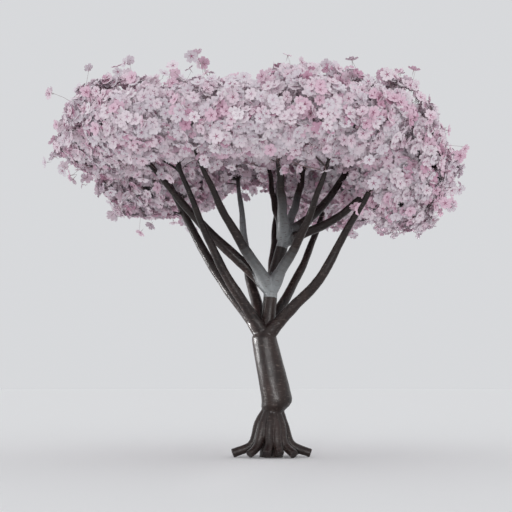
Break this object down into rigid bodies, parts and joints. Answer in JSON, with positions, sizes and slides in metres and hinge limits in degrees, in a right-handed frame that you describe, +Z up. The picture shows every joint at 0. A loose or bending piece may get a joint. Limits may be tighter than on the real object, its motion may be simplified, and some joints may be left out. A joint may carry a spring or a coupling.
{
  "type": "cherry blossom tree",
  "caption": "Flowering cherry in full blossom: a leaning trunk on a fluted root flare, ascending boughs and a broad, flat-topped crown of blossom.",
  "frame": {"origin": "middle of the trunk's flat cut at ground level", "axes": "+Z up, +X to the right and -Y towards the front as the tree is seen from its front"},
  "size_m": [4.2313, 3.7015, 3.9074],
  "materials": {
    "bark": "satin dark brown cherry bark with horizontal lenticels",
    "blossom": "soft matt petals, pale greyish pink to deeper pink"
  },
  "bodies": {
    "root": {"trunk": "bark", "leader": "bark", "bough_low_left_front": "bark", "bough_low_right_front": "bark", "bough_low_left_rear": "bark", "bough_low_rear": "bark", "bough_low_right_rear": "bark", "bough_mid_front_left": "bark", "bough_mid_right": "bark", "bough_mid_left": "bark", "bough_mid_rear": "bark", "bough_top_front": "bark", "bough_top_rear_right": "bark", "bough_top_rear_left": "bark", "bough_top_right": "bark", "bough_top_low_right": "bark", "blossom_left_outer": "blossom", "blossom_right_outer": "blossom", "blossom_left_front": "blossom", "blossom_right_front": "blossom", "blossom_left_rear": "blossom", "blossom_right_rear": "blossom", "blossom_front": "blossom", "blossom_rear": "blossom", "blossom_centre_right": "blossom", "blossom_centre_left": "blossom"}
  },
  "joints": []
}
